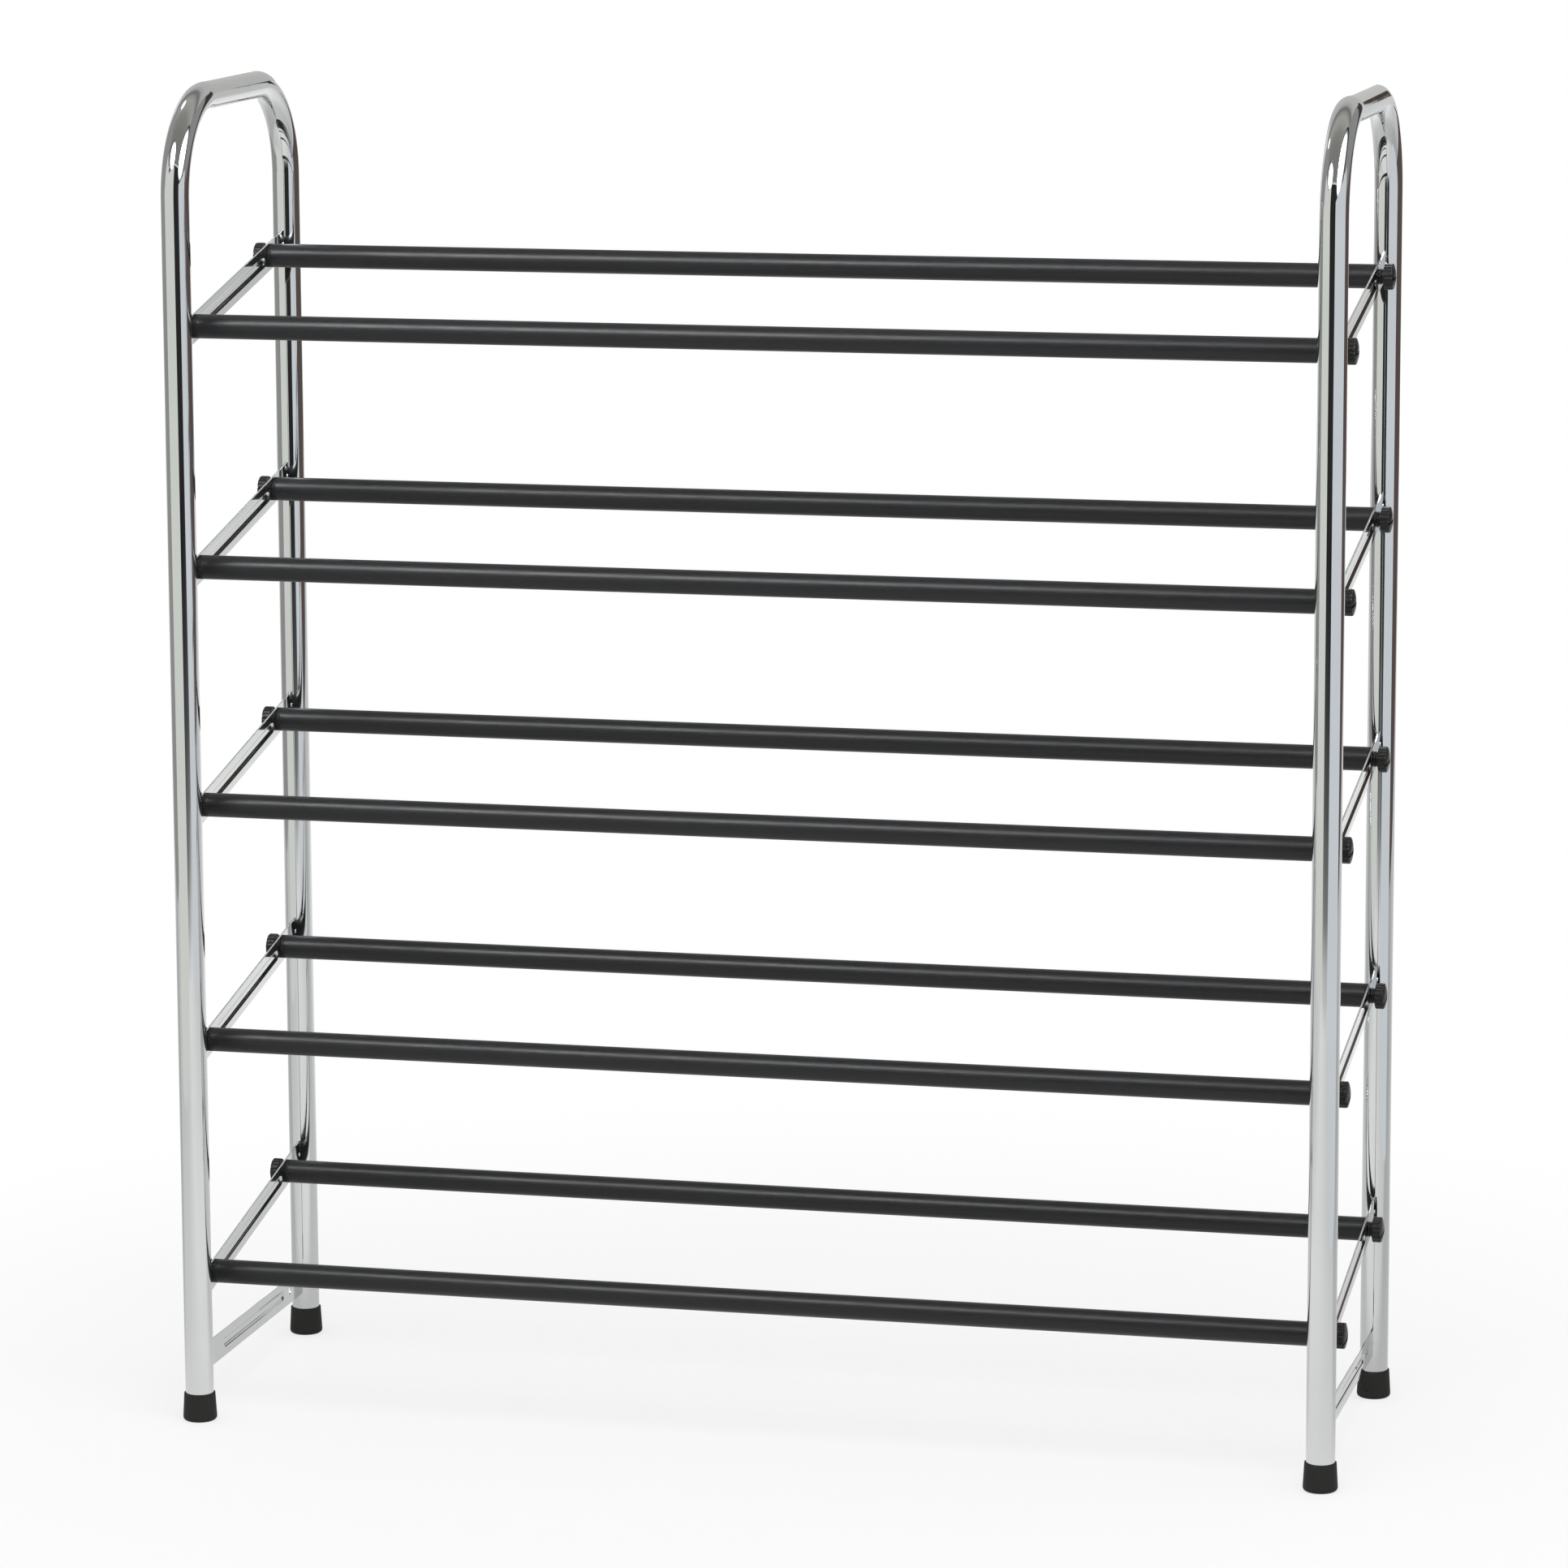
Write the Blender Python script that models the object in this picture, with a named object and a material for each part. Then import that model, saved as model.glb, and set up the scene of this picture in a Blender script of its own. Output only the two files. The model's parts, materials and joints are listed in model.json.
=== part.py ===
"""Five-tier shoe rack, modelled as it is put together.

Two welded end frames of bent tube carry ten rods. A bush sits in each rod end, and a
thumbscrew through the frame's strip runs into that bush. Slip-on caps foot the legs.
Metres, with X along the rods, Y to the rear and Z up. The origin is on the floor, under
the middle of the rack.
"""

import math

import bmesh
import bpy
from mathutils import Matrix

# Layout of the rack
FRAME_SPACING = 0.760  # between the planes of the two end frames
LEG_SPACING = 0.232  # between the two leg axes of one frame
TIER_COUNT = 5
TIER_PITCH = 0.160
LOWEST_TIER = 0.1095  # floor to the middle of the lowest tier
LOOP_HEIGHT = 0.143  # middle of the highest tier to the top of the carry loop
BAR_HEIGHT = 0.0395  # floor to the middle of the foot bar
ROD_INSET = 0.037  # leg axis to the nearer rod axis
ROD_RISE = 0.032  # rear rod above front rod

# Frame tube
TUBE_DIAMETER = 0.019
TUBE_WALL = 0.001
BEND_RADIUS = 0.064  # on the centre line

# Frame strips, with a pressed bead between the two rods
STRIP_WIDTH = 0.0185
STRIP_THICKNESS = 0.0012
BEAD_WIDTH = 0.0090
BEAD_CREST = 0.0026  # width of the bead's flat top
BEAD_RISE = 0.0013
BEAD_MARGIN = 0.0040  # rod's surface to the end of the bead

# Rods
ROD_DIAMETER = 0.016
ROD_WALL = 0.0008

# Bushes in the rod ends
BUSH_FLANGE = 0.0018
BUSH_SPIGOT = 0.0150

# Thumbscrews
SHANK_DIAMETER = 0.0052
SHANK_LENGTH = 0.0150
SHOULDER_STEP = 0.0026  # shoulder beyond the shank, on the radius
SHOULDER_LENGTH = 0.0030
HEAD_DIAMETER = 0.0172
HEAD_SIDE = 0.0056
DOME_RISE = 0.0018
DOME_SHOULDER = 0.68  # radius of the dome's bend, as a share of the head's
DOME_KNEE = 0.62  # height of the dome's bend, as a share of its rise
FLUTE_COUNT = 12
FLUTE_DEPTH = 0.0005
SLOT_WIDTH = 0.0016
SLOT_DEPTH = 0.0022
SLOT_ANGLES = (32.0, 40.0, 22.0, 15.0, 13.0)  # degrees as tightened, lowest tier first

# Foot caps
CAP_HEIGHT = 0.0190
CAP_FLOOR = 0.0030
CAP_WALL = 0.00065
CAP_FLARE = 0.0011  # foot wider than the rim, on the radius
CAP_EDGE = 0.0026

# Finishes: colour, roughness and metallic value
CHROME = ((0.58, 0.59, 0.59), 0.06, 1.0)
ROD_COAT = ((0.013, 0.013, 0.014), 0.34, 0.0)
BUSH_PLASTIC = ((0.014, 0.014, 0.014), 0.50, 0.0)
SCREW_PLASTIC = ((0.016, 0.015, 0.014), 0.36, 0.0)
CAP_PLASTIC = ((0.022, 0.021, 0.020), 0.62, 0.0)

# Clearances
SEAT_GAP = 0.0003  # between faces that meet
FIT_GAP = 0.0003  # around what sits in a bore, on the radius

# Facets
TUBE_SIDES = 16
BEND_STEPS = 6
ROD_SIDES = 16
STEM_SIDES = 12
BEAD_SIDES = 12
CAP_SIDES = 20
EDGE_STEPS = 3
MERGE_DISTANCE = 0.00001
SMOOTH_ANGLE = math.radians(35.0)

# Values that follow from the sizes above
TUBE_RADIUS = TUBE_DIAMETER / 2
ROD_RADIUS = ROD_DIAMETER / 2
ROD_SPREAD = LEG_SPACING - 2 * ROD_INSET
STRIP_SLOPE = ROD_RISE / ROD_SPREAD
FRAME_HEIGHT = LOWEST_TIER + (TIER_COUNT - 1) * TIER_PITCH + LOOP_HEIGHT
LEG_FOOT = CAP_FLOOR + SEAT_GAP
STRIP_FACE = FRAME_SPACING / 2 + STRIP_THICKNESS / 2
BUSH_SEAT = FRAME_SPACING / 2 - STRIP_THICKNESS / 2 - SEAT_GAP
ROD_END = BUSH_SEAT - BUSH_FLANGE - SEAT_GAP
SCREW_SEAT = STRIP_FACE + SEAT_GAP
BORE_RADIUS = SHANK_DIAMETER / 2 + FIT_GAP

SIDES = {"left": -1, "right": 1}
ROWS = {"front": -1, "rear": 1}


def clear_scene():
    """Remove every object that the file opened with."""
    for item in list(bpy.data.objects):
        bpy.data.objects.remove(item, do_unlink=True)


def finish_material(name, colour, roughness, metallic):
    """A plain surface finish."""
    material = bpy.data.materials.new(name)
    material.use_nodes = True
    shader = material.node_tree.nodes["Principled BSDF"]
    shader.inputs["Base Color"].default_value = (*colour, 1.0)
    shader.inputs["Roughness"].default_value = roughness
    shader.inputs["Metallic"].default_value = metallic
    return material


def to_mesh(bm, name):
    """Close the bmesh and hand back its mesh, with faces pointing out."""
    bmesh.ops.remove_doubles(bm, verts=bm.verts, dist=MERGE_DISTANCE)
    bmesh.ops.recalc_face_normals(bm, faces=bm.faces)
    mesh = bpy.data.meshes.new(name)
    bm.to_mesh(mesh)
    bm.free()
    return mesh


def combine(base, operation, tools):
    """Join the tool meshes to the base mesh, or cut them out of it."""
    body = bpy.data.objects.new(base.name, base)
    bpy.context.collection.objects.link(body)
    helpers = []
    for tool in tools:
        helper = bpy.data.objects.new(tool.name, tool)
        helper.hide_render = True
        helper.display_type = "WIRE"
        bpy.context.collection.objects.link(helper)
        helpers.append(helper)
        modifier = body.modifiers.new(tool.name, "BOOLEAN")
        modifier.operation = operation
        modifier.solver = "EXACT"
        modifier.object = helper
    bm = bmesh.new()
    bm.from_object(body, bpy.context.evaluated_depsgraph_get())
    for item in (body, *helpers):
        bpy.data.objects.remove(item, do_unlink=True)
    return to_mesh(bm, base.name)


def turned(points, sides, name):
    """Spin a profile of (along, radius) points about the X axis and close flat ends."""
    bm = bmesh.new()
    verts = [bm.verts.new((along, 0.0, radius)) for along, radius in points]
    edges = [bm.edges.new(pair) for pair in zip(verts, verts[1:])]
    bmesh.ops.spin(
        bm,
        geom=verts + edges,
        cent=(0.0, 0.0, 0.0),
        axis=(1.0, 0.0, 0.0),
        angle=math.tau,
        steps=sides,
        use_merge=True,
    )
    bmesh.ops.remove_doubles(bm, verts=bm.verts, dist=MERGE_DISTANCE)
    bmesh.ops.holes_fill(bm, edges=bm.edges, sides=0)
    return to_mesh(bm, name)


def place(name, mesh, material, location=(0.0, 0.0, 0.0), rotation=(0.0, 0.0, 0.0)):
    """Put one named piece of the rack in the scene."""
    piece = bpy.data.objects.new(name, mesh)
    if not mesh.materials:
        mesh.materials.append(material)
        mesh.shade_smooth()
        mesh.set_sharp_from_angle(angle=SMOOTH_ANGLE)
    piece.location = location
    piece.rotation_euler = rotation
    bpy.context.collection.objects.link(piece)
    return piece


def tier_height(tier):
    """Height of a tier's middle, counted from 1 at the lowest."""
    return LOWEST_TIER + (tier - 1) * TIER_PITCH


def rod_place(tier, row):
    """Depth and height of a rod's axis."""
    return ROWS[row] * ROD_SPREAD / 2, tier_height(tier) + ROWS[row] * ROD_RISE / 2


def tube_stations():
    """Depth, height and turn of each section along the bent tube, front foot first."""
    bend_height = FRAME_HEIGHT - TUBE_RADIUS - BEND_RADIUS
    bend_depth = LEG_SPACING / 2 - BEND_RADIUS
    stations = [(-LEG_SPACING / 2, LEG_FOOT, 0.0)]
    for centre, first in ((-bend_depth, 0.0), (bend_depth, math.pi / 2)):
        for step in range(BEND_STEPS + 1):
            turn = first + math.pi / 2 * step / BEND_STEPS
            depth = centre - BEND_RADIUS * math.cos(turn)
            stations.append((depth, bend_height + BEND_RADIUS * math.sin(turn), turn))
    stations.append((LEG_SPACING / 2, LEG_FOOT, math.pi))
    return stations


def frame_tube():
    """One tube bent into two legs and a carry loop, open at both feet."""
    bm = bmesh.new()
    walls = []
    for radius in (TUBE_RADIUS, TUBE_RADIUS - TUBE_WALL):
        rings = []
        for depth, height, turn in tube_stations():
            section = Matrix.Translation((0.0, depth, height)) @ Matrix.Rotation(-turn, 4, "X")
            ring = bmesh.ops.create_circle(bm, segments=TUBE_SIDES, radius=radius, matrix=section)
            rings.append(ring["verts"])
        walls.append(rings)
    outer, inner = walls
    joins = list(zip(outer, outer[1:])) + list(zip(inner, inner[1:]))
    joins += [(outer[0], inner[0]), (outer[-1], inner[-1])]
    for one, other in joins:
        for index in range(TUBE_SIDES):
            last = index - 1
            bm.faces.new((one[last], one[index], other[index], other[last]))
    return to_mesh(bm, "frame_tube")


def plate(height, slope):
    """A flat strip between the legs, cut upright at both ends."""
    reach = LEG_SPACING / 2 - TUBE_RADIUS + TUBE_WALL / 2
    upright = STRIP_WIDTH * math.hypot(1.0, slope)
    bm = bmesh.new()
    size = Matrix.Diagonal((STRIP_THICKNESS, 2 * reach, upright, 1.0))
    bmesh.ops.create_cube(bm, size=1.0, matrix=size)
    for vert in bm.verts:
        vert.co.z += height + slope * vert.co.y
    return to_mesh(bm, "plate")


def bead(height, slope, shift):
    """The round-ended ridge on a strip's left face, shifted right to cut its hollow."""
    length = ROD_SPREAD * math.hypot(1.0, slope) - ROD_DIAMETER - 2 * BEAD_MARGIN
    flank = (BEAD_WIDTH - BEAD_CREST) / 2 / BEAD_RISE
    root = STRIP_THICKNESS / 2
    rings = (
        (BEAD_WIDTH / 2 + flank * root, 0.0),
        (BEAD_CREST / 2, root + BEAD_RISE),
    )
    half_step = Matrix.Rotation(math.pi / BEAD_SIDES, 4, "Z")
    bm = bmesh.new()
    for radius, level in rings:
        lift = Matrix.Translation((0.0, 0.0, level))
        ring = bmesh.ops.create_circle(
            bm, segments=BEAD_SIDES, radius=radius, matrix=lift @ half_step
        )
        for vert in ring["verts"]:
            vert.co.x += math.copysign((length - BEAD_WIDTH) / 2, vert.co.x)
    bmesh.ops.bridge_loops(bm, edges=list(bm.edges))
    bmesh.ops.holes_fill(bm, edges=list(bm.edges), sides=0)
    mesh = to_mesh(bm, "bead")
    facing = Matrix(((0, 0, -1, 0), (-1, 0, 0, 0), (0, 1, 0, 0), (0, 0, 0, 1)))
    tilt = Matrix.Rotation(math.atan(slope), 4, "X")
    mesh.transform(Matrix.Translation((shift, 0.0, height)) @ tilt @ facing)
    return mesh


def hole(depth, height):
    """A cylinder that cuts a thumbscrew's hole through a strip."""
    bm = bmesh.new()
    along = Matrix.Translation((0.0, depth, height)) @ Matrix.Rotation(math.pi / 2, 4, "Y")
    bmesh.ops.create_cone(
        bm,
        cap_ends=True,
        segments=STEM_SIDES,
        radius1=BORE_RADIUS,
        radius2=BORE_RADIUS,
        depth=2 * (STRIP_THICKNESS + BEAD_RISE),
        matrix=along,
    )
    return to_mesh(bm, "hole")


def end_frame():
    """The tube with the tier strips and the level foot bar welded between its legs.

    The foot bar carries no rods and keeps only its rear hole.
    """
    levels = [(BAR_HEIGHT, 0.0, (ROWS["rear"],))]
    levels += [(tier_height(tier), STRIP_SLOPE, ROWS.values()) for tier in range(1, TIER_COUNT + 1)]
    plates = []
    ridges = []
    cutters = []
    for height, slope, holed in levels:
        plates.append(plate(height, slope))
        ridges.append(bead(height, slope, 0.0))
        cutters.append(bead(height, slope, STRIP_THICKNESS))
        for back in holed:
            depth = back * ROD_SPREAD / 2
            cutters.append(hole(depth, height + slope * depth))
    welded = combine(frame_tube(), "UNION", plates + ridges)
    return combine(welded, "DIFFERENCE", cutters)


def foot_cap():
    """A flared slip-on cap with a rounded foot."""
    bore = TUBE_RADIUS + FIT_GAP
    rim = bore + CAP_WALL
    foot = rim + CAP_FLARE
    points = []
    for step in range(EDGE_STEPS + 1):
        turn = math.pi / 2 * step / EDGE_STEPS
        along = CAP_EDGE * (1.0 - math.cos(turn))
        points.append((along, foot - CAP_EDGE * (1.0 - math.sin(turn))))
    points += [(CAP_HEIGHT, rim), (CAP_HEIGHT, bore), (CAP_FLOOR, bore)]
    mesh = turned(points, CAP_SIDES, "foot_cap")
    mesh.transform(Matrix.Rotation(-math.pi / 2, 4, "Y"))
    return mesh


def rod():
    """A plain tube, open at both ends, centred on the origin."""
    inner = ROD_RADIUS - ROD_WALL
    outline = [(-ROD_END, ROD_RADIUS), (ROD_END, ROD_RADIUS), (ROD_END, inner), (-ROD_END, inner)]
    return turned(outline + outline[:1], ROD_SIDES, "rod")


def bush():
    """A flanged bush for the right end of a rod, with its seat at the origin."""
    spigot = ROD_RADIUS - ROD_WALL - FIT_GAP
    tail = -BUSH_FLANGE - BUSH_SPIGOT
    outline = [
        (0.0, BORE_RADIUS),
        (0.0, ROD_RADIUS),
        (-BUSH_FLANGE, ROD_RADIUS),
        (-BUSH_FLANGE, spigot),
        (tail, spigot),
        (tail, BORE_RADIUS),
    ]
    return turned(outline + outline[:1], ROD_SIDES, "bush")


def thumbscrew():
    """A fluted, slotted screw for the right side, with its shoulder's face at the origin."""
    shank = SHANK_DIAMETER / 2
    shoulder = shank + SHOULDER_STEP
    rim = HEAD_DIAMETER / 2
    head_end = SHOULDER_LENGTH + HEAD_SIDE
    stem_end = SHOULDER_LENGTH + HEAD_SIDE / 2
    stem_points = [
        (-SHANK_LENGTH, shank),
        (0.0, shank),
        (0.0, shoulder),
        (stem_end, shoulder),
    ]
    head_points = [
        (SHOULDER_LENGTH, rim),
        (head_end, rim),
        (head_end + DOME_KNEE * DOME_RISE, DOME_SHOULDER * rim),
        (head_end + DOME_RISE, 0.0),
    ]
    head = turned(head_points, 2 * FLUTE_COUNT, "thumbscrew")
    for vert in head.vertices:
        on_rim = math.hypot(vert.co.y, vert.co.z) > rim - MERGE_DISTANCE
        in_flute = math.cos(FLUTE_COUNT * math.atan2(vert.co.y, vert.co.z)) < 0.0
        if on_rim and in_flute:
            vert.co.yz = vert.co.yz * (1.0 - FLUTE_DEPTH / rim)
    bm = bmesh.new()
    size = Matrix.Diagonal((2 * SLOT_DEPTH, 2 * HEAD_DIAMETER, SLOT_WIDTH, 1.0))
    at_end = Matrix.Translation((head_end + DOME_RISE, 0.0, 0.0))
    bmesh.ops.create_cube(bm, size=1.0, matrix=at_end @ size)
    slotted = combine(head, "DIFFERENCE", [to_mesh(bm, "slot")])
    return combine(slotted, "UNION", [turned(stem_points, STEM_SIDES, "stem")])


def build():
    """Model each kind of piece once and set out every copy of it."""
    clear_scene()
    chrome = finish_material("chrome_plate", *CHROME)
    black_coat = finish_material("black_powder_coat", *ROD_COAT)
    bush_plastic = finish_material("black_bush_plastic", *BUSH_PLASTIC)
    screw_plastic = finish_material("black_screw_plastic", *SCREW_PLASTIC)
    cap_plastic = finish_material("black_cap_plastic", *CAP_PLASTIC)

    frame_mesh = end_frame()
    cap_mesh = foot_cap()
    rod_mesh = rod()
    bush_mesh = bush()
    screw_mesh = thumbscrew()

    for side, out in SIDES.items():
        plane = out * FRAME_SPACING / 2
        place(f"{side}_end_frame", frame_mesh, chrome, (plane, 0.0, 0.0))
        for row, back in ROWS.items():
            leg = (plane, back * LEG_SPACING / 2, 0.0)
            place(f"foot_cap_{side}_{row}", cap_mesh, cap_plastic, leg)

    for tier in range(1, TIER_COUNT + 1):
        slot = math.radians(SLOT_ANGLES[(tier - 1) % len(SLOT_ANGLES)])
        for row in ROWS:
            depth, height = rod_place(tier, row)
            place(f"rod_{tier}_{row}", rod_mesh, black_coat, (0.0, depth, height))
            for side, out in SIDES.items():
                label = f"{tier}_{row}_{side}"
                facing = 0.0 if out > 0 else math.pi
                seat = (out * BUSH_SEAT, depth, height)
                place(f"bush_{label}", bush_mesh, bush_plastic, seat, (0.0, 0.0, facing))
                seat = (out * SCREW_SEAT, depth, height)
                place(f"thumbscrew_{label}", screw_mesh, screw_plastic, seat, (slot, 0.0, facing))


build()
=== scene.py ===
"""Shoe rack in fine detail, with its finishes and a studio to picture it in.

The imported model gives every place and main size, in metres with X along the rods, Y to the
rear and Z up. Each piece is modelled again with its rounded edges and small features.
"""

import json
import math

import bmesh
import bpy
from bpy.props import FloatProperty, FloatVectorProperty, PointerProperty
from mathutils import Matrix, Vector


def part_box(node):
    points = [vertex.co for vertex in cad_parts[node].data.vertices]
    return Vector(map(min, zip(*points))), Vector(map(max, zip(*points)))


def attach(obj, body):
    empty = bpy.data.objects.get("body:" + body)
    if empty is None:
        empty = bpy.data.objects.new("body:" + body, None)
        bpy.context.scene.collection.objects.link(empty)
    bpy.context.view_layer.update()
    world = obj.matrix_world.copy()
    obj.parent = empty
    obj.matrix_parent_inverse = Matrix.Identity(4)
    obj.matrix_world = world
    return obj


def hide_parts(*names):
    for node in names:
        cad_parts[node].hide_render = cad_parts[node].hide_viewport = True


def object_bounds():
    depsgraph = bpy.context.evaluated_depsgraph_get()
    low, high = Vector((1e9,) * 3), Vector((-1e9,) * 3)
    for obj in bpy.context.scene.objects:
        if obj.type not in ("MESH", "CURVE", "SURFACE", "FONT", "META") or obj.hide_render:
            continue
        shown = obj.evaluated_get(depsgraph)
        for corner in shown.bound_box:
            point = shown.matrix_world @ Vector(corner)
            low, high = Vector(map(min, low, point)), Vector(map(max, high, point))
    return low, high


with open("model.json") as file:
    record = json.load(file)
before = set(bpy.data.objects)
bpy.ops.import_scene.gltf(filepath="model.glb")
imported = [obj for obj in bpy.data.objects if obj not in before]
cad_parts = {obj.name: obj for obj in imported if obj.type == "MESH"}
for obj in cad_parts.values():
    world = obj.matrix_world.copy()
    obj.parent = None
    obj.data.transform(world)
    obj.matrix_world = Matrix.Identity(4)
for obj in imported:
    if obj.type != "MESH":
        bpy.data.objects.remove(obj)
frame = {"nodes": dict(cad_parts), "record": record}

bl_info = {
    "name": "Shoe rack",
    "version": (1, 0, 0),
    "blender": (4, 5, 0),
    "location": "3D View > Sidebar > Shoe Rack",
    "description": "Models a five-tier shoe rack around its packed frame",
    "category": "Object",
}

# Layout, read from the frame
CAD_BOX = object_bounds()
SIDES = {"left": -1, "right": 1}
ROWS = {"front": -1, "rear": 1}
TIERS = range(1, sum(node.startswith("rod_") for node in frame["nodes"]) // len(ROWS) + 1)
FRAME_LOW, FRAME_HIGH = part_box("right_end_frame")
TUBE_RADIUS = (FRAME_HIGH.x - FRAME_LOW.x) / 2
FRAME_PLANE = (FRAME_HIGH.x + FRAME_LOW.x) / 2
LEG_DEPTH = FRAME_HIGH.y - TUBE_RADIUS
ROD_LOW, ROD_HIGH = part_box("rod_1_front")
ROD_RADIUS = (ROD_HIGH.z - ROD_LOW.z) / 2
FINISHES = {material["slot"]: material["base_color"] for material in frame["record"]["materials"]}

# Turns that each piece happens to have, in degrees
SLOT_ANGLES = (32.0, 40.0, 22.0, 15.0, 13.0)  # thumbscrew slots, lowest tier first
GATE_ANGLES = {  # moulding gates of the foot caps, from the front towards the right
    ("left", "front"): 150.0,
    ("left", "rear"): -130.0,
    ("right", "front"): 205.0,
    ("right", "rear"): -16.0,
}

# Fineness of the meshes
TUBE_SIDES = 64
BEND_STEPS = 28
ROD_SIDES = 64
CAP_SIDES = 72
HOLE_SIDES = 32
BEAD_SIDES = 48
BEAD_STEPS = 8
WELD_SIDES = 24
FLUTE_COUNT = 12
FLUTE_STEPS = 16
ROUND_STEPS = 4
EDGE_STEPS = 2
MERGE_DISTANCE = 0.000001
SHARP_ANGLE = math.radians(50.0)

# Ways of shaping
ROUND_PROFILE = 0.5  # a bevel's profile that is part of a circle
FLUTE_POWER = 2  # makes a screw's flutes narrow, with broad round ridges between them
CUT_OVERSIZE = 2  # length of a slot's cutter, against what it cuts
INWARD = -1.0  # a sheet's thickness lies inside its skin
CENTRED = 0.0  # a sheet's thickness lies on both sides of it

# Directions
X_AXIS = (1.0, 0.0, 0.0)
QUARTER_TURN = math.pi / 2
UPRIGHT = Matrix.Rotation(-QUARTER_TURN, 4, "Y")
# Turns (along, across, out) on a strip into X, depth and height
STRIP_FACING = Matrix(((0, 0, 1, 0), (1, 0, 0, 0), (0, 1, 0, 0), (0, 0, 0, 1)))

# Values of the finishes' shader nodes
RELIEF_NOISE = {"Detail": 2.0}
SPECK_NOISE = {"Detail": 0.0}
SPECK_RANGE = {"From Min": 0.55, "From Max": 0.80}
PATCH_NOISE = {"Detail": 4.0, "Roughness": 0.6, "Distortion": 0.4}
PATCH_RANGE = {"From Min": 0.38, "From Max": 0.68}
RIPPLE_NOISE = {"Detail": 1.0}
CHROME_GLOSS = {"Scale": 16.0, "Clean": 0.025, "Handled": 0.065}
CHROME_TARNISH = {"Scale": 9.0, "Clean": 0.0, "Handled": 1.0}
CHROME_RIPPLE = {"Scale": 14.0}
CHROME_BUMP = {"Strength": 0.6, "Distance": 0.0004}
TARNISH_SHADE = 0.965
HANDLING_SCALE = 22.0
GRAIN_DISTANCE = 0.0001
BLACK_LOOKS = {  # grain, relief, specks, shine, clean and handled roughness
    "rod_coat": (2600.0, 0.30, 1.8, 0.24, 0.36, 0.41),
    "bush_plastic": (3200.0, 0.20, 1.4, 0.15, 0.44, 0.52),
    "screw_plastic": (3600.0, 0.12, 1.4, 0.18, 0.30, 0.40),
    "cap_plastic": (2400.0, 0.32, 1.5, 0.10, 0.58, 0.68),
}


# Settings

def length(name, description, default):
    """A size that can be set, in metres."""
    return FloatProperty(
        name=name, description=description, default=default, min=0.0, unit="LENGTH", precision=5
    )


def colour(name, description, default):
    """A colour that can be set."""
    return FloatVectorProperty(
        name=name, description=description, default=default, min=0.0, size=3, subtype="COLOR"
    )


def level(name, description, default):
    """A brightness that can be set, where 1 is white."""
    return FloatProperty(name=name, description=description, default=default, min=0.0)


class FrameSizes(bpy.types.PropertyGroup):
    """Sizes of the end frames."""

    tube_wall: length("Tube wall", "Wall of the frame tube", 0.001)
    bend_radius: length("Bend radius", "Radius of the tube's bends on the centre line", 0.064)
    bar_height: length("Foot bar height", "Floor to the middle of the foot bar", 0.0395)
    strip_width: length("Strip width", "Width of the strips between the legs", 0.0185)
    strip_thickness: length("Strip thickness", "Thickness of the strips", 0.0012)
    strip_edge: length("Strip edge", "Rounding of the strips' cut edges", 0.00012)
    hole_radius: length("Hole radius", "Radius of the thumbscrew holes", 0.0029)
    bead_width: length("Bead width", "Width of the pressed bead", 0.009)
    bead_floor: length("Bead floor", "Width of the bead's flat floor", 0.0026)
    bead_depth: length("Bead depth", "Depth of the pressed bead", 0.0013)
    bead_margin: length("Bead margin", "Rod's surface to the end of the bead", 0.004)
    weld_radius: length("Weld radius", "Radius of the weld at a strip's end", 0.0013)
    weld_rise: length("Weld rise", "Height of the weld above the strip", 0.0006)


class RodSizes(bpy.types.PropertyGroup):
    """Sizes of the rods and their bushes."""

    rod_wall: length("Rod wall", "Wall of the rods", 0.0008)
    rod_edge: length("Rod edge", "Rounding of the rods' ends", 0.0002)
    bush_fit: length("Bush fit", "Clearance around the bush's spigot", 0.00005)
    bush_edge: length("Bush edge", "Rounding of the bush's flange", 0.0003)
    bush_lead: length("Bush lead", "Rounding of the spigot's end", 0.0008)
    bush_bore: length("Bush bore", "Radius of the bush's bore", 0.0029)


class ScrewSizes(bpy.types.PropertyGroup):
    """Sizes of the thumbscrews."""

    shank_radius: length("Shank radius", "Radius of the shank", 0.0026)
    shank_length: length("Shank length", "Shank below the collar", 0.015)
    shank_lead: length("Shank lead", "Rounding of the shank's end", 0.0006)
    collar_radius: length("Collar radius", "Radius of the collar under the head", 0.0052)
    collar_length: length("Collar length", "Collar between the strip and the head", 0.003)
    groove_start: length("Groove start", "Strip side of the collar's groove", 0.0011)
    groove_width: length("Groove width", "Width of the collar's groove", 0.0008)
    groove_depth: length("Groove depth", "Depth of the collar's groove", 0.0007)
    head_radius: length("Head radius", "Radius of the head over its flutes", 0.0086)
    head_side: length("Head side", "Length of the head's fluted side", 0.0056)
    dome_rise: length("Dome rise", "Rise of the head's domed end", 0.0018)
    knee_radius: length("Knee radius", "Radius where the dome bends over", 0.0058)
    knee_rise: length("Knee rise", "Height of the dome's bend above the side", 0.0011)
    knee_round: length("Knee rounding", "Rounding of the dome's bend", 0.0024)
    head_edge: length("Head edge", "Rounding of the head's edges", 0.0006)
    flute_depth: length("Flute depth", "Depth of the flutes", 0.0005)
    slot_width: length("Slot width", "Width of the coin slot", 0.0016)
    slot_depth: length("Slot depth", "Depth of the coin slot", 0.0022)
    fine_edge: length("Fine edge", "Rounding of the collar's and slot's edges", 0.0002)


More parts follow.
